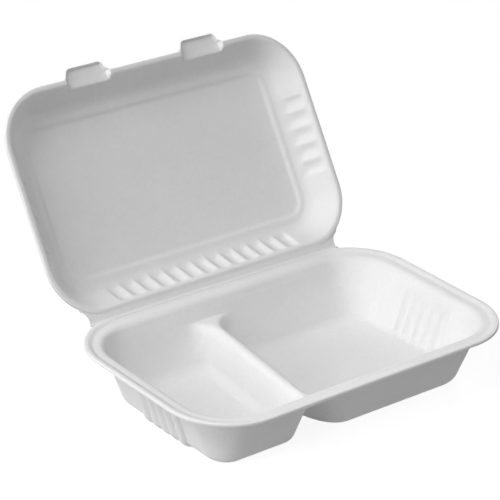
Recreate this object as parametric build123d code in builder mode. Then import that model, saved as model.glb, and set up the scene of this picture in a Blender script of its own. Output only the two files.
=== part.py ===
from build123d import *
import math
import os

os.makedirs("parts", exist_ok=True)

# Thickness of the moulded sheet: level parts, then sloping walls
sheet = 1.4
side_sheet = 1.5
lid_sheet = 0.7
lid_side_sheet = 0.75
web = 0.9

# Base tray outline
tray_width = 240.0
tray_depth = 154.0
tray_corner = 41.5
tray_height = 39.3

# Rim section of the tray, measured inward from the outer edge
tray_lip = 3.4
rim_step_in = 1.0
rim_step_down = 1.4
bead_start = 8.3
bead_end = 11.8
bead_rise = 0.9
tray_rim = 12.2
skirt_drop = 2.2

# Floor of the tray
floor_half_width = 92.0
floor_front = -54.5
floor_rear = 46.0
floor_corner = 22.0
foot_fillet = 4.5

# Divider between the two compartments
ridge_height = 27.3
ridge_centre = -26.8
ridge_skew = 0.130
ridge_half_foot = 9.0
ridge_half_top = 1.2
ridge_corner_foot = 8.5
ridge_corner_top = 16.0

# Ribs in the end walls of the tray
tray_rib_count = 5
tray_rib_pitch = 8.4
tray_rib_radius = 5.0
tray_rib_foot_bulge = 1.7
tray_rib_top_bulge = 0.4

# Hinge line and lid angle
hinge_y = 75.3
hinge_half_width = 96.0
hinge_gap = 0.15
close_gap = 0.4
web_drop = 0.1
notch_fillet = 8.0
lid_angle = 122.5

# Lid outline, in the lid's own flat frame where Y runs away from the hinge
lid_width = 228.8
lid_near = 3.4
lid_far = 146.7
lid_corner = 35.0
lid_raise = 0.9
lid_rim = 8.2
groove_start = 2.4
groove_end = 7.5
groove_side = 0.6
lid_depth = 15.5
panel_step = 1.5
lid_floor_half_width = 98.5
lid_floor_near = 20.0
lid_floor_far = 131.5
lid_floor_corner = 19.0
panel_half_width = 92.3
panel_near = 26.8
panel_far = 124.2
panel_corner = 11.0
lid_foot_fillet = 3.5

# Ribs in the lid walls
lid_rib_pitch = 11.0
lid_rear_ribs = 13
lid_side_ribs = 5
lid_rib_radius = 7.5
lid_rib_foot_bulge = 1.8
lid_rib_top_bulge = 0.5

# Tabs on the lid's front edge
tab_centre = 43.8
tab_half_root = 15.0
tab_half_end = 12.2
tab_reach = 7.2
tab_knee = 1.6
tab_depth = 3.2
tab_wall = 0.9
tab_draft = 1.4
tab_drop = 1.2
tab_slope = 2.6

rim_z = tray_height
wall_top = rim_z - rim_step_down - 0.2
open_half_width = tray_width / 2 - tray_rim
open_front = -tray_depth / 2 + tray_rim
open_rear = tray_depth / 2 - tray_rim
open_corner = tray_corner - tray_rim
lid_mouth = (lid_width / 2 - lid_rim, lid_near + lid_rim, lid_far - lid_rim, lid_corner - lid_rim)


def wall_at(z):
    """Half width, front, rear and corner of the inner wall at a height"""
    f = (z - sheet) / (wall_top - sheet)
    half = floor_half_width + f * (open_half_width - floor_half_width)
    front = floor_front + f * (open_front - floor_front)
    rear = floor_rear + f * (open_rear - floor_rear)
    corner = floor_corner + f * (open_corner - floor_corner)
    return half, front, rear, corner


def whole_outline(z, grow):
    """Rounded outline of the whole cavity at a height, grown outwards"""
    half, front, rear, corner = wall_at(z)
    with BuildSketch(Plane.XY.offset(z)) as outline:
        with Locations((0, (front + rear) / 2)):
            RectangleRounded(2 * (half + grow), rear - front + 2 * grow, corner + grow)
    return outline.sketch


def pit_outline(z, side, half_ridge, ridge_corner, grow):
    """Outline of one compartment at a height: side -1 is the small one, +1 the large one"""
    half, front, rear, corner = wall_at(z)
    x_out = side * (half + grow)
    y_front = front - grow
    y_rear = rear + grow
    inset = side * (half_ridge - grow)
    x_front = ridge_centre + ridge_skew * y_front + inset
    x_rear = ridge_centre + ridge_skew * y_rear + inset
    with BuildSketch(Plane.XY.offset(z)) as outline:
        with BuildLine():
            Polyline((x_out, y_front), (x_front, y_front), (x_rear, y_rear), (x_out, y_rear), close=True)
        make_face()
        outer = outline.vertices().filter_by(lambda v: abs(v.X - x_out) < 0.01)
        fillet(outer, corner + grow)
        inner = outline.vertices().filter_by(
            lambda v: math.dist((v.X, v.Y), (x_front, y_front)) < 0.01
            or math.dist((v.X, v.Y), (x_rear, y_rear)) < 0.01
        )
        fillet(inner, ridge_corner + grow)
    return outline.sketch


def pit_solid(side, drop, grow):
    """One compartment as a solid, from its floor up to the ridge"""
    top = ridge_height - drop
    floor = sheet - drop
    shoulder = top - 2.2
    with BuildPart() as pit:
        loft(
            sections=[
                pit_outline(floor, side, ridge_half_foot + 0.2 * drop, ridge_corner_foot, grow),
                pit_outline(shoulder, side, ridge_half_top + 2.4, ridge_corner_top - 0.6, grow),
            ],
            ruled=True,
        )
        loft(
            sections=[
                pit_outline(shoulder, side, ridge_half_top + 2.4, ridge_corner_top - 0.6, grow),
                pit_outline(top - 0.7, side, ridge_half_top + 1.4, ridge_corner_top - 0.2, grow),
                pit_outline(top, side, ridge_half_top, ridge_corner_top, grow),
            ],
            ruled=True,
        )
        foot = pit.edges().filter_by(lambda e: abs(e.center().Z - floor) < 0.01)
        fillet(foot, foot_fillet + drop)
    return pit.part


def rib(foot, top, radius):
    """One half-round rib: a slanted bar to be pressed through a wall"""
    slope = Vector(*top) - Vector(*foot)
    with BuildPart(Plane(origin=foot, z_dir=slope)) as bar:
        Cylinder(radius, slope.length, align=(Align.CENTER, Align.CENTER, Align.MIN))
    return bar.part


def row(count, pitch, middle):
    """Evenly spaced places about a middle"""
    return [middle + pitch * (k - (count - 1) / 2) for k in range(count)]


def tray_ribs(grow):
    """The ribs in both end walls of the tray, thicker by grow for the outer face"""
    z_foot = sheet + 3.0
    z_top = wall_top - 4.0
    lean = math.atan2(wall_at(z_top)[0] - wall_at(z_foot)[0], z_top - z_foot)
    reach = tray_rib_radius / math.cos(lean)
    x_foot = wall_at(z_foot)[0] + tray_rib_foot_bulge - reach
    x_top = wall_at(z_top)[0] + tray_rib_top_bulge - reach
    middle = (floor_front + floor_rear) / 2
    return [
        rib((side * x_foot, y, z_foot), (side * x_top, y, z_top), tray_rib_radius + grow)
        for side in (-1, 1)
        for y in row(tray_rib_count, tray_rib_pitch, middle)
    ]


def rim_path(width, near, far, corner, z):
    """The outer edge of a rim, starting half way along its +X side"""
    x = width / 2
    with BuildLine(Plane.XY.offset(z)) as path:
        Line((x, (near + far) / 2), (x, far - corner))
        JernArc(path.line @ 1, (0, 1), corner, 90)
        Line(path.line @ 1, (corner - x, far))
        JernArc(path.line @ 1, (-1, 0), corner, 90)
        Line(path.line @ 1, (-x, near + corner))
        JernArc(path.line @ 1, (0, -1), corner, 90)
        Line(path.line @ 1, (x - corner, near))
        JernArc(path.line @ 1, (1, 0), corner, 90)
        Line(path.line @ 1, (x, (near + far) / 2))
    return path.line


def section_plane(width, near, far, z):
    """The plane across a rim where its path starts: local X runs inwards, local Y up"""
    return Plane(origin=(width / 2, (near + far) / 2, z), x_dir=(-1, 0, 0), z_dir=(0, 1, 0))


with BuildPart() as base_tray:
    # Outer skin: two pits joined above the tunnel, then the ribs
    add(pit_solid(-1, sheet, side_sheet))
    add(pit_solid(1, sheet, side_sheet))
    loft(
        sections=[whole_outline(ridge_height - sheet, side_sheet), whole_outline(wall_top, side_sheet)],
        ruled=True,
    )
    for bar in tray_ribs(side_sheet):
        add(bar)
    # Inner skin
    add(pit_solid(-1, 0, 0), mode=Mode.SUBTRACT)
    add(pit_solid(1, 0, 0), mode=Mode.SUBTRACT)
    loft(sections=[whole_outline(ridge_height, 0), whole_outline(wall_top, 0)], ruled=True, mode=Mode.SUBTRACT)
    for bar in tray_ribs(0):
        add(bar, mode=Mode.SUBTRACT)
    # Rim, swept round the outline
    ledge = -rim_step_down
    with BuildSketch(section_plane(tray_width, -tray_depth / 2, tray_depth / 2, rim_z)) as tray_section:
        with BuildLine():
            Line((0, -skirt_drop), (0, -sheet))
            RadiusArc((0, -sheet), (sheet, 0), sheet)
            Polyline((sheet, 0), (tray_lip, 0), (tray_lip + rim_step_in, ledge), (bead_start, ledge))
            bead_top = ((bead_start + bead_end) / 2, ledge + bead_rise)
            ThreePointArc((bead_start, ledge), bead_top, (bead_end, ledge))
            Polyline(
                (bead_end, ledge),
                (tray_rim, ledge - 0.2),
                (tray_rim, ledge - 0.3 - sheet),
                (tray_lip + rim_step_in - 0.9, ledge - sheet),
                (tray_lip - 0.9, -sheet),
                (sheet, -sheet),
                (sheet, -skirt_drop),
                (0, -skirt_drop),
            )
        make_face()
    sweep(path=rim_path(tray_width, -tray_depth / 2, tray_depth / 2, tray_corner, rim_z))
    # Rear edge: cut back to the hinge line, with a flat strip along it
    with Locations((0, hinge_y - hinge_gap / 2, rim_z)):
        Box(
            2 * hinge_half_width + 2, 20, 10,
            align=(Align.CENTER, Align.MIN, Align.CENTER),
            mode=Mode.SUBTRACT,
        )
        Box(2 * hinge_half_width, lid_near - close_gap, web, align=(Align.CENTER, Align.MAX, Align.MAX))

base_tray.part.label = "base_tray"
export_step(base_tray.part, "parts/base_tray.step")


def level_rectangle(half_width, near, far, corner, z, grow):
    """A rounded outline in the lid's flat frame"""
    with BuildSketch(Plane.XY.offset(z)) as outline:
        with Locations((0, (near + far) / 2)):
            RectangleRounded(2 * (half_width + grow), far - near + 2 * grow, corner + grow)
    return outline.sketch


def lid_cavity(drop, grow):
    """The hollow of the lid, or with drop and grow its outer face"""
    foot = (lid_floor_half_width, lid_floor_near, lid_floor_far, lid_floor_corner)
    panel_foot = (panel_half_width - 1.4, panel_near + 1.4, panel_far - 1.4, panel_corner - 1)
    panel = (panel_half_width, panel_near, panel_far, panel_corner)
    floor = -lid_depth - drop
    with BuildPart() as cavity:
        loft(
            sections=[level_rectangle(*lid_mouth, 0, grow), level_rectangle(*foot, floor, grow)],
            ruled=True,
        )
        rim_of_floor = cavity.edges().filter_by(lambda e: abs(e.center().Z - floor) < 0.01)
        fillet(rim_of_floor, lid_foot_fillet + drop)
        loft(
            sections=[
                level_rectangle(*panel, floor, grow),
                level_rectangle(*panel_foot, floor - panel_step, grow),
            ],
            ruled=True,
        )
    return cavity.part


def lid_wall(f):
    """Half width and near edge of the lid's inner wall, f of the way down"""
    half = lid_width / 2 - lid_rim
    half = half + f * (lid_floor_half_width - half)
    near = lid_near + lid_rim
    near = near + f * (lid_floor_near - near)
    return half, near


def lid_ribs(grow):
    """The ribs in the rear and end walls of the lid"""
    f_top, f_foot = 0.1, 0.82
    half_top, near_top = lid_wall(f_top)
    half_foot, near_foot = lid_wall(f_foot)
    rise = (f_foot - f_top) * lid_depth
    rear_reach = lid_rib_radius / math.cos(math.atan2(near_foot - near_top, rise))
    side_reach = lid_rib_radius / math.cos(math.atan2(half_top - half_foot, rise))
    bars = []
    for x in row(lid_rear_ribs, lid_rib_pitch, 0):
        foot = (x, near_foot - lid_rib_foot_bulge + rear_reach, -f_foot * lid_depth)
        top = (x, near_top - lid_rib_top_bulge + rear_reach, -f_top * lid_depth)
        bars.append(rib(foot, top, lid_rib_radius + grow))
    for side in (-1, 1):
        for y in row(lid_side_ribs, lid_rib_pitch, (lid_near + lid_far) / 2):
            foot = (side * (half_foot + lid_rib_foot_bulge - side_reach), y, -f_foot * lid_depth)
            top = (side * (half_top + lid_rib_top_bulge - side_reach), y, -f_top * lid_depth)
            bars.append(rib(foot, top, lid_rib_radius + grow))
    return bars


def notch_radius():
    """Radius where the hinge strip runs into the lid's corner, limited by the room there"""
    past = max(hinge_half_width - (lid_width / 2 - lid_corner), 0)
    lean = math.asin(past / lid_corner)
    room = lid_near + lid_corner * (1 - math.cos(lean)) - hinge_gap
    return min(notch_fillet, 0.9 * room / math.tan((math.pi / 2 - lean) / 2))


def tab_outline(x, half_root, half_end, near, far, z):
    """Plan of a tab pocket at a height"""
    with BuildSketch(Plane.XY.offset(z)) as outline:
        with BuildLine():
            Polyline(
                (x - half_root, near), (x - half_root, lid_far + tab_knee), (x - half_end, far),
                (x + half_end, far), (x + half_root, lid_far + tab_knee), (x + half_root, near),
                close=True,
            )
        make_face()
        fillet(outline.vertices(), 1.0)
    return outline.sketch


def tab(x, wall, top):
    """A tab pocket, or with a wall thickness its outer face"""
    near = lid_far - groove_start + tab_wall - wall
    far = lid_far + tab_reach - tab_wall + wall
    half_root = tab_half_root + wall
    half_end = tab_half_end + wall
    with BuildPart() as pocket:
        loft(
            sections=[
                tab_outline(x, half_root - tab_draft, half_end - tab_draft,
                            near + tab_draft, far - tab_draft, -tab_depth - wall),
                tab_outline(x, half_root, half_end, near, far, top),
            ],
            ruled=True,
        )
    return pocket.part


with BuildPart() as flat_lid:
    # Outer skin
    add(lid_cavity(lid_sheet, lid_side_sheet))
    for bar in lid_ribs(lid_side_sheet):
        add(bar)
    # Rim, swept round the outline, and the strip that runs to the hinge line
    with BuildSketch(section_plane(lid_width, lid_near, lid_far, 0)) as lid_section:
        with BuildLine():
            Line((0, lid_raise - skirt_drop), (0, lid_raise - lid_sheet))
            RadiusArc((0, lid_raise - lid_sheet), (lid_sheet, lid_raise), lid_sheet)
            Polyline(
                (lid_sheet, lid_raise), (groove_start, lid_raise),
                (groove_start + groove_side, 0), (groove_end - groove_side, 0),
                (groove_end, lid_raise), (lid_rim, lid_raise),
                (lid_rim, -lid_sheet), (groove_start, -lid_sheet),
                (groove_start - 0.5, lid_raise - lid_sheet), (lid_sheet, lid_raise - lid_sheet),
                (lid_sheet, lid_raise - skirt_drop), (0, lid_raise - skirt_drop),
            )
        make_face()
    sweep(path=rim_path(lid_width, lid_near, lid_far, lid_corner, 0))
    with BuildSketch(Plane.XY.offset(-web_drop - web)) as strip:
        with Locations((0, hinge_gap)):
            Rectangle(2 * hinge_half_width, 12, align=(Align.CENTER, Align.MIN))
        with Locations((0, (lid_near + lid_far) / 2)):
            RectangleRounded(lid_width - 0.8, lid_far - lid_near - 0.8, lid_corner - 0.4)
        notch = strip.vertices().filter_by(lambda v: abs(abs(v.X) - hinge_half_width) < 0.05 and v.Y > 2)
        fillet(notch, notch_radius())
        with Locations((0, (lid_near + lid_far) / 2)):
            RectangleRounded(lid_width - 4, lid_far - lid_near - 4, lid_corner - 2, mode=Mode.SUBTRACT)
        with Locations((0, 40)):
            Rectangle(lid_width, 200, align=(Align.CENTER, Align.MIN), mode=Mode.SUBTRACT)
    extrude(amount=web)
    for x in (-tab_centre, tab_centre):
        add(tab(x, tab_wall, lid_raise))
    # Inner skin, with the mouth cleared of the ribs' upper ends
    extrude(to_extrude=level_rectangle(*lid_mouth, 0, 0), amount=3, mode=Mode.SUBTRACT)
    add(lid_cavity(0, 0), mode=Mode.SUBTRACT)
    for bar in lid_ribs(0):
        add(bar, mode=Mode.SUBTRACT)
    for x in (-tab_centre, tab_centre):
        add(tab(x, 0, lid_raise + 0.01), mode=Mode.SUBTRACT)
    # The tabs' upper edges fall away, so that they pass over the tray's lip
    with BuildSketch(Plane.YZ) as fall:
        with BuildLine():
            Polyline(
                (lid_far + close_gap, 5), (lid_far + close_gap, lid_raise),
                (lid_far + close_gap + tab_slope, -tab_drop), (lid_far + 20, -tab_drop),
                (lid_far + 20, 5), close=True,
            )
        make_face()
    extrude(amount=lid_width / 2, both=True, mode=Mode.SUBTRACT)

turn = 180 - lid_angle
with BuildPart() as lid:
    add(flat_lid.part.moved(Location((0, hinge_y, rim_z), (turn, 0, 0))))

lid.part.label = "lid"
export_step(lid.part, "parts/lid.step")
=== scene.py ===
"""Blender scene of a moulded-pulp clamshell container with two compartments.

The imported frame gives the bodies. This file builds the smooth moulded skins
that stand for the two CAD nodes, the folded web between them, the pulp
material, the studio and the camera. Forms are written in millimetres and are
turned into metres when a mesh is made.
"""

import logging
import math
from dataclasses import dataclass, replace
from enum import Enum
from typing import Callable, Iterable, Sequence

import bmesh
import bpy
from mathutils import Matrix, Vector

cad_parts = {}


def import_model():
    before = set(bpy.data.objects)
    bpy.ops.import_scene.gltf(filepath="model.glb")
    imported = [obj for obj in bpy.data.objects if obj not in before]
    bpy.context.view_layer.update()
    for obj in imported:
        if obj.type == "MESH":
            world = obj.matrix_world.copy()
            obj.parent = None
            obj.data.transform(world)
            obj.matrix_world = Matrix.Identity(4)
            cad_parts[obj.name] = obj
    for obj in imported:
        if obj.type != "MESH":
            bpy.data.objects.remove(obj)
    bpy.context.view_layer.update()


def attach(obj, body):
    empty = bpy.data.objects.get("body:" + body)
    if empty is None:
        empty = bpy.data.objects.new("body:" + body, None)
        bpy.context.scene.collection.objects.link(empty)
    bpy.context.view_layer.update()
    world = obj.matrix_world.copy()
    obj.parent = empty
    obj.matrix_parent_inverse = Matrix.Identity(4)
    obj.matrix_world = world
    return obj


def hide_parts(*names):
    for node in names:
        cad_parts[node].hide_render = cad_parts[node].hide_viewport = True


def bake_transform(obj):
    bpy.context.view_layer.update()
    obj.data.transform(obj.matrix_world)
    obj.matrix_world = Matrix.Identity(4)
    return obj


LOG = logging.getLogger("clamshell")
MM = 0.001

Row = list[Vector]
Corner = tuple[Vector, tuple[float, float]]


class Body(Enum):
    """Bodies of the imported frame."""

    TRAY = "base_tray"
    LID = "lid"


class Slot(Enum):
    """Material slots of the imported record."""

    TRAY = "tray_pulp"
    LID = "lid_pulp"


def smooth(low: float, high: float, value: float) -> float:
    """Ease from 0 to 1.

    Args:
        low: value at which the result leaves 0.
        high: value at which the result reaches 1.
        value: value to be eased.

    Returns:
        The eased share, between 0 and 1.
    """
    part = min(max((value - low) / (high - low), 0.0), 1.0)
    return part * part * (3.0 - 2.0 * part)


def mix(start: float, end: float, part: float) -> float:
    """Return the value a given part of the way from start to end."""
    return start + (end - start) * part


def away(azimuth: float, elevation: float) -> Vector:
    """Return the unit direction at an azimuth and elevation in degrees, 0 in front."""
    turn, rise = math.radians(azimuth), math.radians(elevation)
    level = math.cos(rise)
    return Vector((math.sin(turn) * level, -math.cos(turn) * level, math.sin(rise)))


@dataclass(frozen=True)
class Outline:
    """A rounded rectangle that is even about X, but for a wider near right corner."""

    half: float
    near: float
    far: float
    corner: float
    extra: float = 0.0

    def inset(self, depth: float) -> "Outline":
        """Return the outline moved inwards by depth."""
        return Outline(
            self.half - depth, self.near + depth, self.far - depth, self.corner - depth, self.extra
        )

    def towards(self, other: "Outline", part: float) -> "Outline":
        """Return the outline a given part of the way to another one."""
        return Outline(
            mix(self.half, other.half, part),
            mix(self.near, other.near, part),
            mix(self.far, other.far, part),
            mix(self.corner, other.corner, part),
            mix(self.extra, other.extra, part),
        )

    def corners(self) -> list[Corner]:
        """Return the four corners with their reaches, near right first."""
        reach = (self.corner, self.corner)
        return [
            (Vector((self.half, self.near)), (self.corner + self.extra,) * 2),
            (Vector((self.half, self.far)), reach),
            (Vector((-self.half, self.far)), reach),
            (Vector((-self.half, self.near)), reach),
        ]


@dataclass(frozen=True)
class Run:
    """How one straight run of a ring is divided.

    Attributes:
        counts: number of pieces in each stretch.
        breaks: coordinates at which one stretch ends and the next starts.
        axis: coordinate that the breaks are measured along.
    """

    counts: tuple[int, ...]
    breaks: tuple[float, ...] = ()
    axis: int = 0

    def inner_points(self, start: Vector, end: Vector) -> Row:
        """Return the points strictly between the run's two ends."""
        span = end[self.axis] - start[self.axis]
        inner = [(place - start[self.axis]) / span for place in self.breaks]
        marks = [0.0, *inner, 1.0]
        shares = [
            mix(low, high, step / count)
            for low, high, count in zip(marks, marks[1:], self.counts)
            for step in range(count)
        ]
        return [start.lerp(end, share) for share in shares[1:]]


def corner_arc(
    before: Vector, at: Vector, after: Vector, reach: tuple[float, float], pieces: int
) -> Row:
    """Return the points of the elliptic arc that rounds one corner of a polygon.

    Args:
        before: the corner before it.
        at: the corner that is rounded.
        after: the corner after it.
        reach: length taken off the side that arrives and off the side that leaves.
        pieces: number of pieces in the arc.

    Returns:
        Points from the side that arrives to the side that leaves.
    """
    arrive = (before - at).normalized() * reach[0]
    leave = (after - at).normalized() * reach[1]
    angles = (math.pi / 2.0 * step / pieces for step in range(pieces + 1))
    return [
        at + arrive * (1.0 - math.sin(angle)) + leave * (1.0 - math.cos(angle)) for angle in angles
    ]


def rounded_ring(corners: Sequence[Corner], runs: Sequence[Run], pieces: int) -> list[Row]:
    """Return a rounded polygon as its stretches: arc, run, arc, run and so on."""
    count = len(corners)
    arcs = [
        corner_arc(corners[i - 1][0], at, corners[(i + 1) % count][0], reach, pieces)
        for i, (at, reach) in enumerate(corners)
    ]
    stretches: list[Row] = []
    for i, arc in enumerate(arcs):
        stretches.append(arc)
        stretches.append(runs[i].inner_points(arc[-1], arcs[(i + 1) % count][0]))
    return stretches


def soften(
    points: Sequence[tuple[float, float, float]], steps: int = 4
) -> list[tuple[float, float]]:
    """Round the corners of a profile.

    Args:
        points: inset, height and rounding length of each point of the profile.
        steps: number of pieces in each rounded corner.

    Returns:
        The profile as pairs of inset and height.
    """
    result: list[tuple[float, float]] = []
    for i, (inset, height, reach) in enumerate(points):
        at = Vector((inset, height))
        if reach == 0.0 or i in (0, len(points) - 1):
            result.append((inset, height))
            continue
        start = at + (Vector(points[i - 1][:2]) - at).normalized() * reach
        end = at + (Vector(points[i + 1][:2]) - at).normalized() * reach
        for step in range(steps + 1):
            part = step / steps
            spot = start.lerp(at, part).lerp(at.lerp(end, part), part)
            result.append((spot.x, spot.y))
    return result


@dataclass(frozen=True)
class Ribs:
    """A row of round ribs pressed outwards into one wall.

    Attributes:
        middle: place of the middle rib along the wall.
        count: number of ribs.
        pitch: distance from one rib to the next.
        cusp: share of a rib's height that the land between two ribs cuts off.
        foot: bulge at the foot of the wall.
        top: bulge at the top of the wall.
        fade: depths at which the ribs start, are whole, start to end and are gone.
    """

    middle: float
    count: int
    pitch: float
    cusp: float
    foot: float
    top: float
    fade: tuple[float, float, float, float]

    SOFTNESS = 0.05

    def zone(self) -> tuple[float, float]:
        """Return the stretch of wall that the ribs take up."""
        half = self.pitch * self.count / 2.0
        return self.middle - half, self.middle + half

    def bulge(self, along: float, depth: float) -> float:
        """Return how far the wall is pressed out.

        Args:
            along: place along the wall.
            depth: 0 at the wall's top and 1 at its foot.

        Returns:
            The bulge, outwards.
        """
        low, high = self.zone()
        if not low < along < high:
            return 0.0
        place = (along - low) % self.pitch - self.pitch / 2.0
        rise = mix(self.top, self.foot, depth)
        arc = rise * (math.cos(math.pi * place / self.pitch) - self.cusp)
        start, whole, last, gone = self.fade
        share = smooth(start, whole, depth) * (1.0 - smooth(last, gone, depth))
        edge = smooth(0.0, 0.25 * self.pitch, min(along - low, high - along))
        return share * edge * (arc + math.sqrt(arc * arc + self.SOFTNESS)) / 2.0


class Skin:
    """A moulded sheet that is built from strips of quads."""

    WELD = 0.004
    LOOSEN = 0.5
    SHARP = math.radians(58.0)

    def __init__(self) -> None:
        self.mesh = bmesh.new()

    def strips(
        self, rows: Sequence[Row], closed: bool, keep: Callable[[Row], bool] | None = None
    ) -> None:
        """Join rows of points with quads.

        Args:
            rows: rows with the same number of points.
            closed: whether each row runs back to its start.
            keep: test that a quad's four points have to pass.
        """
        made = [[self.mesh.verts.new(point) for point in row] for row in rows]
        width = len(rows[0])
        for upper, lower in zip(made, made[1:]):
            for i in range(width if closed else width - 1):
                j = (i + 1) % width
                quad = [upper[i], upper[j], lower[j], lower[i]]
                if keep is None or keep([vert.co for vert in quad]):
                    self.mesh.faces.new(quad)

    def relax(self, inside: Callable[[Vector], bool], rounds: int) -> None:
        """Weld the strips and even out the points that pass a test."""
        bmesh.ops.remove_doubles(self.mesh, verts=self.mesh.verts[:], dist=self.WELD)
        chosen = [vert for vert in self.mesh.verts if not vert.is_boundary and inside(vert.co)]
        for _ in range(rounds):
            bmesh.ops.smooth_vert(
                self.mesh,
                verts=chosen,
                factor=self.LOOSEN,
                use_axis_x=True,
                use_axis_y=True,
                use_axis_z=True,
            )

    def cap(self, row: Row) -> None:
        """Close a level ring with one face."""
        self.mesh.faces.new([self.mesh.verts.new(point) for point in row])

    def finish(
        self, name: str, thickness: float, matrix: Matrix, material: bpy.types.Material
    ) -> bpy.types.Object:
        """Weld the strips, give them thickness and make the object.

        Args:
            name: name of the new object.
            thickness: thickness of the sheet, laid on below the strips.
            matrix: turn from the skin's flat frame into the row frame.
            material: material of the object.

        Returns:
            The new object, at the origin and unturned.
        """
        bmesh.ops.remove_doubles(self.mesh, verts=self.mesh.verts[:], dist=self.WELD)
        bmesh.ops.dissolve_degenerate(self.mesh, edges=self.mesh.edges[:], dist=self.WELD)
        loose = [vert for vert in self.mesh.verts if not vert.link_faces]
        bmesh.ops.delete(self.mesh, geom=loose, context="VERTS")
        bmesh.ops.recalc_face_normals(self.mesh, faces=self.mesh.faces[:])
        widest = max(self.mesh.faces, key=lambda face: face.calc_area())
        if widest.normal.z < 0.0:
            bmesh.ops.reverse_faces(self.mesh, faces=self.mesh.faces[:])
        bmesh.ops.solidify(self.mesh, geom=self.mesh.faces[:], thickness=thickness)
        bmesh.ops.recalc_face_normals(self.mesh, faces=self.mesh.faces[:])
        to_metres = Matrix.Scale(MM, 4) @ matrix
        bmesh.ops.transform(self.mesh, matrix=to_metres, verts=self.mesh.verts[:])
        return make_object(name, self.mesh, material)


def make_object(
    name: str, mesh: bmesh.types.BMesh, material: bpy.types.Material
) -> bpy.types.Object:
    """Turn a finished bmesh into a smooth-shaded object and free it."""
    for face in mesh.faces:
        face.smooth = True
    data = bpy.data.meshes.new(name)
    mesh.to_mesh(data)
    mesh.free()
    data.materials.append(material)
    data.set_sharp_from_angle(angle=Skin.SHARP)
    made = bpy.data.objects.new(name, data)
    bpy.context.scene.collection.objects.link(made)
    return made


@dataclass(frozen=True)
class Ridge:
    """The divider between the compartments, in plan and height.

    The front corners are told apart by side: the large compartment's runs far
    back along the ridge at its foot, the small one's is tight.
    """

    height: float = 27.4
    centre: float = -26.8
    skew: float = 0.130
    half_foot: float = 9.0
    half_shoulder: float = 4.3
    half_top: float = 0.6
    shoulder: float = 4.8
    rear_foot: float = 8.5
    rear_top: float = 16.0
    small_front: tuple[float, float] = (6.0, 7.0)
    large_front_foot: tuple[float, float] = (45.0, 24.0)
    large_front_top: tuple[float, float] = (20.0, 18.0)

    def half_at(self, height: float, floor: float) -> float:
        """Return half the ridge's width at a height."""
        drop = self.height - height
        if drop <= self.shoulder:
            share = math.sqrt(max(1.0 - (1.0 - drop / self.shoulder) ** 2, 0.0))
            return mix(self.half_top, self.half_shoulder, share)
        foot = self.height - self.shoulder
        return mix(self.half_foot, self.half_shoulder, (height - floor) / (foot - floor))

    def rear_at(self, share: float) -> tuple[float, float]:
        """Return the reaches of a rear corner, share running from 0 at the foot to 1 at the top."""
        reach = mix(self.rear_foot, self.rear_top, share)
        return reach, reach

    def front_at(self, side: int, share: float) -> tuple[float, float]:
        """Return a front corner's reaches along the ridge and along the front wall."""
        if side < 0:
            reach = mix(*self.small_front, share)
            return reach, reach
        foot, top = self.large_front_foot, self.large_front_top
        return mix(foot[0], top[0], share), mix(foot[1], top[1], share)


@dataclass(frozen=True)
class TrayForm:
    """Sizes of the base tray."""

    edge: Outline = Outline(120.0, -77.0, 77.0, 41.5)
    mouth: Outline = Outline(107.8, -64.8, 64.8, 29.3)
    floor: Outline = Outline(95.0, -53.2, 47.0, 12.0, 8.0)
    height: float = 39.3
    mouth_z: float = 37.7
    wall_z: float = 32.8
    thickness: float = 1.4
    fillets: tuple[float, float] = (5.5, 3.4)
    hinge_y: float = 75.22
    ridge: Ridge = Ridge()
    ribs: Ribs = Ribs(-4.2, 5, 8.4, 0.1, 3.0, 1.6, (0.14, 0.36, 0.98, 1.04))


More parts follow.
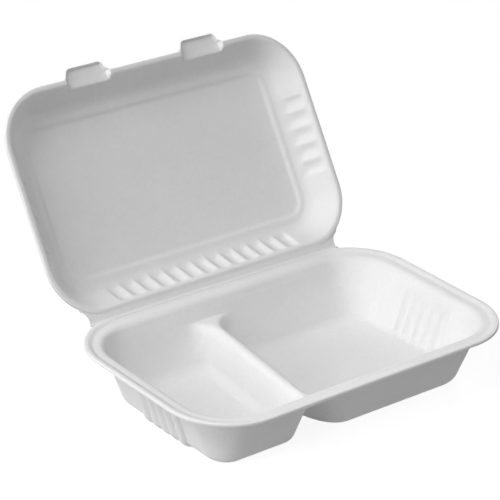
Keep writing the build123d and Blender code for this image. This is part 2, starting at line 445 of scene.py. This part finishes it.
class TraySkin:
    """Builds the skin of the base tray."""

    PIECES = 16
    LEFT_RUN = 8
    MIDDLE_RUN = 12
    RIGHT_RUN = 18
    SIDE_COUNTS = (7, 70, 7)
    RIDGE_RUN = 30
    LIP_STEPS = 12
    WALL_STEPS = 16
    ON_WALL = 1.0
    CORNER_RELIEF = 0.4
    SADDLE_ACROSS = 32.0
    SADDLE_RISE = 7.0
    SADDLE_START = 34.0
    SADDLE_ROUNDS = 14

    RIM = soften(
        [
            (0.0, -1.7, 0.0),
            (0.0, 0.0, 0.9),
            (2.6, 0.0, 1.1),
            (5.2, -1.25, 1.1),
            (12.08, -1.25, 3.9),
            (13.5, -5.3, 0.0),
        ],
        steps=6,
    )

    def __init__(self, form: TrayForm) -> None:
        self.form = form
        self.tangents = {side: self._tangents(side) for side in (-1, 1)}

    def wall(self, height: float) -> Outline:
        """Return the inner wall's outline at a height."""
        form = self.form
        part = (height - form.thickness) / (form.mouth_z - form.thickness)
        return form.floor.towards(form.mouth, part)

    def _pit(self, side: int, height: float, inset: float) -> list[Row]:
        """Return one compartment's ring as stretches, inner front corner first."""
        form = self.form
        ridge = form.ridge
        outline = self.wall(height).inset(inset)
        half = ridge.half_at(height, form.thickness) + inset
        share = (height - form.thickness) / (ridge.height - form.thickness)
        relief = self.CORNER_RELIEF * inset
        front = tuple(reach - relief for reach in ridge.front_at(side, share))
        rear = tuple(reach - relief for reach in ridge.rear_at(share))

        def inner_x(along: float) -> float:
            return ridge.centre + ridge.skew * along + side * half

        outer = (outline.corner, outline.corner)
        near_outer = outer if side < 0 else (outline.corner + outline.extra,) * 2
        corners = [
            (Vector((inner_x(outline.near), outline.near)), front),
            (Vector((side * outline.half, outline.near)), near_outer),
            (Vector((side * outline.half, outline.far)), outer),
            (Vector((inner_x(outline.far), outline.far)), rear),
        ]
        level = self.RIGHT_RUN if side > 0 else self.LEFT_RUN
        side_run = Run(self.SIDE_COUNTS, form.ribs.zone(), 1)
        runs = [Run((level,)), side_run, Run((level,)), Run((self.RIDGE_RUN,))]
        return rounded_ring(corners, runs, self.PIECES)

    def _tangents(self, side: int) -> tuple[float, float]:
        """Return where the ridge's corners leave the front and the rear wall."""
        stretches = self._pit(side, self.form.ridge.height, 0.0)
        return stretches[0][-1].x, stretches[6][0].x

    def _whole(self, outline: Outline) -> Row:
        """Return a ring round the whole tray with the same divisions as the compartments."""
        left, right = self.tangents[-1], self.tangents[1]
        side_run = Run(self.SIDE_COUNTS, self.form.ribs.zone(), 1)
        back_run = Run(
            (self.RIGHT_RUN, self.MIDDLE_RUN, self.LEFT_RUN), (right[1], left[1])
        )
        left_run = Run(self.SIDE_COUNTS, tuple(reversed(self.form.ribs.zone())), 1)
        front_run = Run(
            (self.LEFT_RUN, self.MIDDLE_RUN, self.RIGHT_RUN), (left[0], right[0])
        )
        runs = [side_run, back_run, left_run, front_run]
        return sum(rounded_ring(outline.corners(), runs, self.PIECES), [])

    def _lift(self, row: Iterable[Vector], height: float, outline: Outline) -> Row:
        """Raise a flat ring to its height and press the ribs into its end walls."""
        form = self.form
        depth = (form.mouth_z - height) / (form.mouth_z - form.thickness)
        lifted = []
        for point in row:
            x = point.x
            if abs(x) > outline.half - self.ON_WALL:
                x += math.copysign(form.ribs.bulge(point.y, depth), x)
            lifted.append(Vector((x, min(point.y, form.hinge_y), height)))
        return lifted

    def _near_saddle(self, place: Vector) -> bool:
        """Return whether a point lies where the ridge runs into the front or rear wall."""
        ridge = self.form.ridge
        across = place.x - ridge.centre - ridge.skew * place.y
        near_top = abs(ridge.height - place.z) < self.SADDLE_RISE
        return abs(across) < self.SADDLE_ACROSS and near_top and abs(place.y) > self.SADDLE_START

    def _levels(self, side: int) -> list[tuple[float, float]]:
        """Return the heights and insets of a compartment's rings, from the ridge down."""
        form = self.form
        fillet = form.fillets[side > 0]
        top, floor = form.ridge.height, form.thickness
        turns = (math.radians(angle) for angle in range(0, 91, 15))
        shoulder = [top - form.ridge.shoulder * (1.0 - math.cos(turn)) for turn in turns]
        low = floor + fillet
        steps = self.WALL_STEPS
        wall = [mix(shoulder[-1], low, step / steps) for step in range(1, steps + 1)]
        levels = [(height, 0.0) for height in shoulder + wall]
        for angle in range(80, -1, -10):
            bend = math.radians(angle)
            levels.append((low - fillet * math.cos(bend), fillet * (1.0 - math.sin(bend))))
        return levels

    def build(self, material: bpy.types.Material) -> bpy.types.Object:
        """Build the tray.

        Args:
            material: material of the tray.

        Returns:
            The tray's object.
        """
        form = self.form
        skin = Skin()
        rows = [
            self._lift(self._whole(form.edge.inset(inset)), form.height + height, form.edge)
            for inset, height in self.RIM
        ]
        ridge_top = form.ridge.height
        for step in range(self.LIP_STEPS + 1):
            height = mix(form.wall_z, ridge_top, step / self.LIP_STEPS)
            outline = self.wall(height)
            rows.append(self._lift(self._whole(outline), height, outline))
        skin.strips(rows, closed=True)
        inner_sides = []
        for side in (-1, 1):
            rings = []
            for height, inset in self._levels(side):
                ring = sum(self._pit(side, height, inset), [])
                rings.append(self._lift(ring, height, self.wall(height).inset(inset)))
            crest = self._pit(side, ridge_top, 0.0)
            inner = crest[6] + crest[7] + crest[0]
            inner_sides.append(self._lift(inner, ridge_top, self.wall(ridge_top)))
            skin.strips(rings, closed=True)
            skin.cap(rings[-1])
        left, right = inner_sides
        band = [
            [start.lerp(end, step / self.MIDDLE_RUN) for start, end in zip(left, right)]
            for step in range(self.MIDDLE_RUN + 1)
        ]
        skin.strips(band, closed=False)
        skin.relax(self._near_saddle, self.SADDLE_ROUNDS)
        return skin.finish("tray_shell", form.thickness, Matrix.Identity(4), material)


@dataclass(frozen=True)
class Tab:
    """One lift tab on the lid's front edge, an open pocket whose edge falls away.

    Attributes:
        half_root: half its width where it leaves the lid's edge.
        half_end: half its width at its far end.
        flare: widening at the root, over the first part of the way out.
        far: distance of its far end from the hinge line.
        corner: radius of its far corners.
        floor_root: height of the pocket's floor at the lid's wall.
        floor_end: height of the pocket's floor at the far end.
        edge_end: height of its far edge.
        fall: distances past the lid's edge over which the tab's edge falls.
        side: distances from the tab's edge over which its wall drops to the floor.
    """

    half_root: float = 16.4
    half_end: float = 12.2
    flare: float = 0.7
    far: float = 153.2
    corner: float = 1.8
    floor_root: float = -2.57
    floor_end: float = -3.1
    edge_end: float = -1.3
    fall: tuple[float, float] = (-0.6, 3.4)
    side: tuple[float, float] = (0.1, 1.5)

    def half_at(self, out: float, near: float) -> float:
        """Return half the width at a distance from the hinge line."""
        share = (out - near) / (self.far - near)
        half = mix(self.half_root - self.flare, self.half_end, share)
        half += self.flare * max(1.0 - 3.0 * share, 0.0) ** 2
        rest = max(self.corner - (self.far - out), 0.0)
        return half - (self.corner - math.sqrt(max(self.corner**2 - rest**2, 0.0)))


@dataclass(frozen=True)
class LidForm:
    """Sizes of the lid, in its flat frame with Y away from the hinge."""

    edge: Outline = Outline(114.4, 3.4, 146.7, 35.0)
    mouth: Outline = Outline(110.2, 7.6, 142.5, 30.8)
    foot: Outline = Outline(98.5, 20.0, 131.5, 19.0)
    panel: Outline = Outline(92.3, 26.8, 124.2, 11.0)
    depth: float = 15.5
    fillet: float = 3.5
    thickness: float = 0.7
    lip_depth: float = 2.0
    near_ribs: Ribs = Ribs(0.0, 13, 11.0, 0.12, 3.0, 2.1, (0.0, 0.26, 0.72, 1.0))
    side_ribs: Ribs = Ribs(75.05, 5, 11.0, 0.12, 3.0, 2.1, (0.0, 0.26, 0.72, 1.0))
    hinge_half: float = 96.0
    tab_places: tuple[float, float] = (-43.8, 43.8)
    tab: Tab = Tab()


class LidSkin:
    """Builds the skin of the lid."""

    PIECES = 16
    NEAR_COUNTS = (6, 182, 6)
    SIDE_COUNTS = (10, 70, 10)
    TAB_RUN = 48
    TAB_OUT = 18
    WALL_STEPS = 14
    TAB_WALL_STEP = 3
    ON_WALL = 0.5
    LIP_EASE = 3.0
    FAR_COUNTS = (8, TAB_RUN, 20, TAB_RUN, 8)

    RIM = soften(
        [
            (0.0, -1.3, 0.0),
            (0.0, 0.9, 0.8),
            (3.2, 0.9, 1.2),
            (4.2, -0.2, 0.0),
        ]
    )
    PANEL_EDGE = soften(
        [
            (-2.2, 0.0, 0.0),
            (-0.4, 0.0, 1.2),
            (1.8, -1.4, 1.2),
            (4.2, -1.4, 0.0),
        ]
    )

    def __init__(self, form: LidForm) -> None:
        self.form = form

    def _ring(self, outline: Outline, height: float, depth: float | None = None) -> Row:
        """Return a ring round the lid at a height, with ribs where a wall depth is given."""
        form = self.form
        side_zone = form.side_ribs.zone()
        near_zone = form.near_ribs.zone()
        root = form.tab.half_root
        sides = (place + side * root for place in form.tab_places for side in (-1, 1))
        tab_edges = tuple(sorted(sides, reverse=True))
        runs = [
            Run(self.SIDE_COUNTS, side_zone, 1),
            Run(self.FAR_COUNTS, tab_edges),
            Run(self.SIDE_COUNTS, tuple(reversed(side_zone)), 1),
            Run(self.NEAR_COUNTS, near_zone),
        ]
        ring = []
        for point in sum(rounded_ring(outline.corners(), runs, self.PIECES), []):
            x, y = point
            if depth is not None:
                if abs(x) > outline.half - self.ON_WALL:
                    x += math.copysign(form.side_ribs.bulge(y, depth), x)
                if y < outline.near + self.ON_WALL:
                    y -= form.near_ribs.bulge(x, depth)
            level = self._hinge_level(x, y, height) if depth is None else height
            ring.append(Vector((x, y, level)))
        return ring

    def _hinge_level(self, x: float, y: float, height: float) -> float:
        """Return the height of a point of the lip, which runs out flat along the hinge."""
        form = self.form
        if height <= -form.lip_depth or y >= form.mouth.near + 1.0:
            return height
        flat = smooth(form.hinge_half + self.LIP_EASE, form.hinge_half - self.LIP_EASE, abs(x))
        return mix(height, height * smooth(form.edge.near, form.mouth.near - 1.0, y), flat)

    def _wall_rows(self) -> list[Row]:
        """Return the rings of the wall, its foot and the stepped panel."""
        form = self.form
        rows = []
        low = form.depth - form.fillet
        for step in range(1, self.WALL_STEPS + 1):
            depth = low * step / self.WALL_STEPS
            share = depth / form.depth
            rows.append(self._ring(form.mouth.towards(form.foot, share), -depth, share))
        for angle in range(75, -1, -15):
            bend = math.radians(angle)
            depth = low + form.fillet * math.cos(bend)
            share = depth / form.depth
            outline = form.mouth.towards(form.foot, share)
            outline = outline.inset(form.fillet * (1.0 - math.sin(bend)))
            rows.append(self._ring(outline, -depth, share))
        for inset, height in self.PANEL_EDGE:
            rows.append(self._ring(form.panel.inset(inset), height - form.depth))
        return rows

    def _tab_root(self) -> float:
        """Return the distance from the hinge line at which the tabs' floors start."""
        form = self.form
        depth = (form.depth - form.fillet) * self.TAB_WALL_STEP / self.WALL_STEPS
        return form.mouth.towards(form.foot, depth / form.depth).far

    def _in_tab(self, quad: Row) -> bool:
        """Return whether a quad of the rim or wall lies where a tab takes its place."""
        form = self.form
        middle = sum(quad, Vector((0.0, 0.0, 0.0))) / len(quad)
        return middle.y > self._tab_root() and any(
            abs(middle.x - place) < form.tab.half_root for place in form.tab_places
        )

    def _tab_rows(self, place: float) -> list[Row]:
        """Return the rows of one tab, from its far end back to the lid's wall."""
        form = self.form
        tab = form.tab
        near = form.edge.far
        lip = self.RIM[1:]
        spots: list[tuple[float, float, float]] = []
        for step in range(self.TAB_OUT):
            out = mix(tab.far, near, step / self.TAB_OUT)
            fall = smooth(near + tab.fall[0], near + tab.fall[1], out)
            edge = mix(lip[0][1], tab.edge_end, fall)
            spots.append((out, edge, tab.half_at(out, near)))
        spots += [(near - inset, height, tab.half_root) for inset, height in lip]
        for step in range(1, self.TAB_WALL_STEP + 1):
            depth = (form.depth - form.fillet) * step / self.WALL_STEPS
            out = form.mouth.towards(form.foot, depth / form.depth).far
            spots.append((out, -depth, tab.half_root))
        root = self._tab_root()
        rows = []
        for out, edge, half in spots:
            floor = mix(tab.floor_root, tab.floor_end, smooth(root, near, out))
            points = []
            for column in range(self.TAB_RUN + 1):
                x = half * (2.0 * column / self.TAB_RUN - 1.0)
                sunk = 0.0
                if out > root + Skin.WELD:
                    sunk = smooth(*tab.side, min(half - abs(x), tab.far - out))
                points.append(Vector((place + x, out, mix(edge, min(edge, floor), sunk))))
            rows.append(points)
        return rows

    def build(self, material: bpy.types.Material, matrix: Matrix) -> bpy.types.Object:
        """Build the lid.

        Args:
            material: material of the lid.
            matrix: turn from the lid's flat frame into the row frame.

        Returns:
            The lid's object.
        """
        form = self.form
        skin = Skin()
        rows = [self._ring(form.edge.inset(inset), height) for inset, height in self.RIM]
        rows += self._wall_rows()
        skin.strips(rows, closed=True, keep=lambda quad: not self._in_tab(quad))
        skin.cap(rows[-1])
        for place in form.tab_places:
            skin.strips(self._tab_rows(place), closed=False)
        return skin.finish("lid_shell", form.thickness, matrix, material)


@dataclass(frozen=True)
class FoldForm:
    """Sizes of the folded web along the hinge line.

    Attributes:
        hinge_y: place of the hinge line.
        hinge_z: height of the hinge line.
        turn: angle by which the lid stands up from level, in degrees.
        half: half the web's length at its narrowest.
        back: how far the web runs on to the tray.
        under: how far the web runs under the lid's lip.
        bend: length on each side of the hinge line that is bent.
        thickness: thickness of the web.
        sunk: how far the web lies below the two rims.
        notch: radius of the notch at each end.
        notch_middle: distance of the notch's middle from the hinge line.
    """

    hinge_y: float = 75.3
    hinge_z: float = 39.3
    turn: float = 57.5
    half: float = 96.0
    back: float = 1.5
    under: float = 1.9
    bend: float = 1.2
    thickness: float = 0.8
    sunk: float = 0.06
    notch: float = 7.0
    notch_middle: float = 2.4

    def matrix(self) -> Matrix:
        """Return the turn from the lid's flat frame into the row frame."""
        place = Matrix.Translation((0.0, self.hinge_y, self.hinge_z))
        return place @ Matrix.Rotation(math.radians(self.turn), 4, "X")


class FoldSkin:
    """Builds the strip that joins tray and lid and bends between them."""

    COLUMNS = 128
    ROWS = 30

    def __init__(self, form: FoldForm, lid_edge: Outline) -> None:
        self.form = form
        self.lid_edge = lid_edge

    def _half_at(self, along: float) -> float:
        """Return half the strip's length at a distance from the hinge line."""
        form = self.form
        away = min(abs(along - form.notch_middle), 0.95 * form.notch)
        return form.half + form.notch - math.sqrt(form.notch**2 - away**2)

    def _front_at(self, x: float) -> float:
        """Return how far from the hinge line the strip ends under the lid's lip."""
        edge = self.lid_edge
        over = min(max(abs(x) - (edge.half - edge.corner), 0.0), 0.9 * edge.corner)
        return edge.near + edge.corner - math.sqrt(edge.corner**2 - over**2) + self.form.under

    def _folded(self, x: float, along: float) -> Vector:
        """Return a point of the strip, folded to the rest angle."""
        form = self.form
        turn = math.radians(form.turn)
        reach = form.bend
        raised = Vector((math.cos(turn), math.sin(turn)))
        if along <= -reach:
            spot = Vector((along, 0.0))
        elif along >= reach:
            spot = raised * along
        else:
            share = (along + reach) / (2.0 * reach)
            start, middle, end = Vector((-reach, 0.0)), Vector((0.0, 0.0)), raised * reach
            spot = start.lerp(middle, share).lerp(middle.lerp(end, share), share)
        return Vector((x, form.hinge_y + spot.x, form.hinge_z + spot.y - form.sunk))

    def build(self, material: bpy.types.Material) -> bpy.types.Object:
        """Build the fold.

        Args:
            material: material of the strip.

        Returns:
            The strip's object, in its rest shape.
        """
        form = self.form
        skin = Skin()
        rows = []
        for step in range(self.ROWS + 1):
            share = 3.0 * step / self.ROWS
            row = []
            for column in range(self.COLUMNS + 1):
                across = 2.0 * column / self.COLUMNS - 1.0
                front = self._front_at(across * (form.half + 2.0))
                marks = (-form.back, -form.bend, form.bend, front)
                part = min(int(share), 2)
                along = mix(marks[part], marks[part + 1], share - part)
                row.append(self._folded(self._half_at(along) * across, along))
            rows.append(row)
        skin.strips(rows, closed=False)
        return skin.finish("hinge_fold", form.thickness, Matrix.Identity(4), material)


class Wire:
    """An output socket that can be added to, multiplied and so on."""

    def __init__(self, graph: "Graph", socket: bpy.types.NodeSocket) -> None:
        self.graph = graph
        self.socket = socket

    def __add__(self, other: "Wire | float") -> "Wire":
        return self.graph.math("ADD", self, other)

    def __sub__(self, other: "Wire | float") -> "Wire":
        return self.graph.math("SUBTRACT", self, other)

    def __rsub__(self, other: float) -> "Wire":
        return self.graph.math("SUBTRACT", other, self)

    def __mul__(self, other: "Wire | float") -> "Wire":
        return self.graph.math("MULTIPLY", self, other)

    __radd__ = __add__
    __rmul__ = __mul__

    def above(self, level: float) -> "Wire":
        """Return 1 where the value is above a level and 0 elsewhere."""
        return self.graph.math("GREATER_THAN", self, level)


class Graph:
    """A node tree with one way to make nodes."""

    def __init__(self, tree: bpy.types.NodeTree) -> None:
        self.tree = tree
        self.tree.nodes.clear()

    def node(self, kind: str, inputs: dict | None = None, **settings: object) -> bpy.types.Node:
        """Make a node.

        Args:
            kind: type of the node.
            inputs: values or wires for its inputs, by name or index.
            **settings: properties of the node.

        Returns:
            The new node.
        """
        made = self.tree.nodes.new(kind)
        for key, value in settings.items():
            setattr(made, key, value)
        for key, value in (inputs or {}).items():
            if isinstance(value, Wire):
                self.tree.links.new(value.socket, made.inputs[key])
            else:
                made.inputs[key].default_value = value
        return made

    def wire(self, node: bpy.types.Node, output: str | int = 0) -> Wire:
        """Return one of a node's outputs as a wire."""
        return Wire(self, node.outputs[output])

    def math(self, operation: str, left: "Wire | float", right: "Wire | float") -> Wire:
        """Return the result of a maths node."""
        return self.wire(self.node("ShaderNodeMath", {0: left, 1: right}, operation=operation))

    def noise(self, place: Wire, scale: float, detail: float, rough: float = 0.5) -> Wire:
        """Return a noise value between 0 and 1."""
        inputs = {"Vector": place, "Scale": scale, "Detail": detail, "Roughness": rough}
        return self.wire(self.node("ShaderNodeTexNoise", inputs), "Fac")


@dataclass(frozen=True)
class Finish:
    """How a pulp surface looks.

    Attributes:
        name: name of the material.
        tone: lightness of the surface.
        mottle: strength of the cloudy variation.
        roughness: mean roughness.
        bump: depth of the fibres, in metres.
    """

    name: str
    tone: float
    mottle: float
    roughness: float
    bump: float

    SPECK_SIZE = 0.028
    SPECK_GATE = 0.60
    SPECK_DEPTH = 0.16

    def build(self) -> bpy.types.Material:
        """Build the material.

        Returns:
            The material, with cloudy tone, fine fibres and rare dark specks.
        """
        material = bpy.data.materials.new(self.name)
        material.use_nodes = True
        graph = Graph(material.node_tree)
        place = graph.wire(graph.node("ShaderNodeTexCoord"), "Object")
        clouds = graph.noise(place, 38.0, 3.0)
        flecks = graph.noise(place, 420.0, 4.0, 0.62)
        grain = graph.noise(place, 1500.0, 3.0, 0.6)
        cells = {"Vector": place, "Scale": 68.0, "Randomness": 1.0}
        spots = graph.node("ShaderNodeTexVoronoi", cells)
        gate = graph.noise(place, 41.0, 0.0)
        near = graph.math("LESS_THAN", graph.wire(spots, "Distance"), self.SPECK_SIZE)
        speck = near * gate.above(self.SPECK_GATE)
        shade = (clouds - 0.5) * self.mottle + (flecks - 0.5) * (1.6 * self.mottle)
        value = shade + (grain - 0.5) * (0.9 * self.mottle) + self.tone
        value = value - speck * self.SPECK_DEPTH
        colour = graph.wire(graph.node("ShaderNodeCombineColor", {0: value, 1: value, 2: value}))
        rough = (flecks - 0.5) * 0.16 + self.roughness
        fibres = graph.noise(place, 900.0, 5.0, 0.7)
        waves = graph.noise(place, 210.0, 3.0, 0.5)
        height = fibres + waves * 1.3
        relief = {"Height": height, "Strength": 0.55, "Distance": self.bump}
        bump = graph.wire(graph.node("ShaderNodeBump", relief))
        shader = graph.node(
            "ShaderNodeBsdfPrincipled",
            {
                "Base Color": colour,
                "Roughness": rough,
                "Normal": bump,
                "Specular IOR Level": 0.25,
            },
        )
        graph.node("ShaderNodeOutputMaterial", {"Surface": graph.wire(shader)})
        return material


@dataclass(frozen=True)
class Lamp:
    """A soft square lamp at a direction from the object.

    Attributes:
        name: name of the lamp.
        azimuth: direction in plan, in degrees, 0 in front and 90 to the right.
        elevation: height above the floor, in degrees.
        power: power in watts.
    """

    name: str
    azimuth: float
    elevation: float
    power: float

    AIM = Vector((0.0, 0.05, 0.05))
    DISTANCE = 1.5
    SIZE = 0.6

    def build(self) -> bpy.types.Object:
        """Build the lamp and return its object."""
        heading = away(self.azimuth, self.elevation)
        data = bpy.data.lights.new(self.name, "AREA")
        data.shape = "SQUARE"
        data.size = self.SIZE
        data.energy = self.power
        made = bpy.data.objects.new(self.name, data)
        made.location = self.AIM + heading * self.DISTANCE
        made.rotation_euler = (-heading).to_track_quat("-Z", "Y").to_euler()
        bpy.context.scene.collection.objects.link(made)
        return made


class Studio:
    """The plain white studio: floor, world and lamps."""

    FLOOR_HALF = 6.0
    FLOOR_LEVEL = -0.1 * MM
    LAMPS = (
        Lamp("left_floor", 270.0, 5.0, 3.2),
        Lamp("left_low", 270.0, 20.0, 6.5),
        Lamp("left_high", 270.0, 50.0, 9.0),
        Lamp("back_left_low", 225.0, 20.0, 2.6),
        Lamp("back_left_high", 225.0, 50.0, 4.4),
        Lamp("back_right", 135.0, 20.0, 4.9),
        Lamp("front_low", 0.0, 20.0, 2.9),
        Lamp("front_high", 0.0, 50.0, 2.5),
        Lamp("right_high", 45.0, 50.0, 2.7),
        Lamp("top", 0.0, 90.0, 0.5),
    )

    def build(self) -> None:
        """Build the studio."""
        self._world()
        self._floor()
        for lamp in self.LAMPS:
            lamp.build()

    def _world(self) -> None:
        """White where the camera looks past the object, and no light of its own."""
        world = bpy.data.worlds.new("studio_world")
        world.use_nodes = True
        graph = Graph(world.node_tree)
        path = graph.node("ShaderNodeLightPath")
        seen = graph.wire(path, "Is Camera Ray")
        for ray in ("Is Glossy Ray", "Is Transmission Ray"):
            seen = graph.math("MAXIMUM", seen, graph.wire(path, ray))
        inputs = {"Color": (1.0, 1.0, 1.0, 1.0), "Strength": seen}
        shade = graph.wire(graph.node("ShaderNodeBackground", inputs))
        graph.node("ShaderNodeOutputWorld", {"Surface": shade})
        bpy.context.scene.world = world

    def _floor(self) -> None:
        """A level pale floor that fades into the white world round the object."""
        mesh = bmesh.new()
        level = Matrix.Translation((0.0, 0.0, self.FLOOR_LEVEL))
        bmesh.ops.create_grid(
            mesh, x_segments=2, y_segments=2, size=self.FLOOR_HALF, matrix=level
        )
        material = bpy.data.materials.new("studio_floor")
        material.use_nodes = True
        graph = Graph(material.node_tree)
        place = graph.wire(graph.node("ShaderNodeTexCoord"), "Object")
        length = graph.node("ShaderNodeVectorMath", {0: place}, operation="LENGTH")
        reach = graph.wire(length, "Value")
        fade = graph.node(
            "ShaderNodeMapRange",
            {"Value": reach, "From Min": 0.10, "From Max": 0.40, "To Min": 0.38, "To Max": 0.0},
            interpolation_type="SMOOTHSTEP",
        )
        shader = graph.node(
            "ShaderNodeBsdfPrincipled",
            {
                "Base Color": (0.9, 0.9, 0.9, 1.0),
                "Roughness": 0.9,
                "Specular IOR Level": 0.0,
                "Emission Color": (1.0, 1.0, 1.0, 1.0),
                "Emission Strength": 0.56,
                "Alpha": graph.wire(fade),
            },
        )
        graph.node("ShaderNodeOutputMaterial", {"Surface": graph.wire(shader)})
        make_object("studio_floor", mesh, material)


@dataclass(frozen=True)
class Viewpoint:
    """The photograph's camera."""

    target: tuple[float, float, float] = (0.07046, 0.16354, 0.020)
    azimuth: float = -38.28
    elevation: float = 25.05
    roll: float = 1.46
    distance: float = 1.62874
    lens: float = 175.586
    shift: tuple[float, float] = (0.06054, -0.02948)

    def build(self) -> bpy.types.Object:
        """Build the camera, make it the scene's and return it."""
        turn, roll = math.radians(self.azimuth), math.radians(self.roll)
        back = away(self.azimuth, self.elevation)
        level = Vector((math.cos(turn), math.sin(turn), 0.0))
        upright = back.cross(level)
        right = level * math.cos(roll) + upright * math.sin(roll)
        up = back.cross(right)
        data = bpy.data.cameras.new("camera")
        data.sensor_width = 36.0
        data.lens = self.lens
        data.shift_x, data.shift_y = self.shift
        made = bpy.data.objects.new("camera", data)
        axes = Matrix((right, up, back)).transposed().to_4x4()
        made.matrix_world = Matrix.Translation(Vector(self.target) + back * self.distance) @ axes
        bpy.context.scene.collection.objects.link(made)
        bpy.context.scene.camera = made
        return made


PULP = Finish("pressed_pulp", 0.80, 0.05, 0.78, 0.00022)


def corners(box: Iterable[Vector]) -> list[list[float]]:
    """Return a box's corners as plain lists."""
    return [[float(value) for value in corner] for corner in box]


def main() -> None:
    """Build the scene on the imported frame."""
    logging.basicConfig(level=logging.INFO, format="%(name)s: %(message)s")
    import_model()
    scene = bpy.context.scene
    scene.view_settings.view_transform = "Standard"
    Viewpoint().build()
    Studio().build()
    tray_finish = PULP.build()
    lid_finish = replace(PULP, name="pressed_pulp_lid").build()
    fold = FoldForm()
    lid_form = LidForm()
    tray = TraySkin(TrayForm()).build(tray_finish)
    lid = LidSkin(lid_form).build(lid_finish, fold.matrix())
    web = FoldSkin(fold, lid_form.edge).build(lid_finish)
    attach(tray, Body.TRAY.value)
    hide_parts("base_tray")
    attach(lid, Body.LID.value)
    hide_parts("lid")
    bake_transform(web)
    for piece in (tray, lid, web):
        LOG.info("%s has %d faces", piece.name, len(piece.data.polygons))


if __name__ == "__main__":
    main()
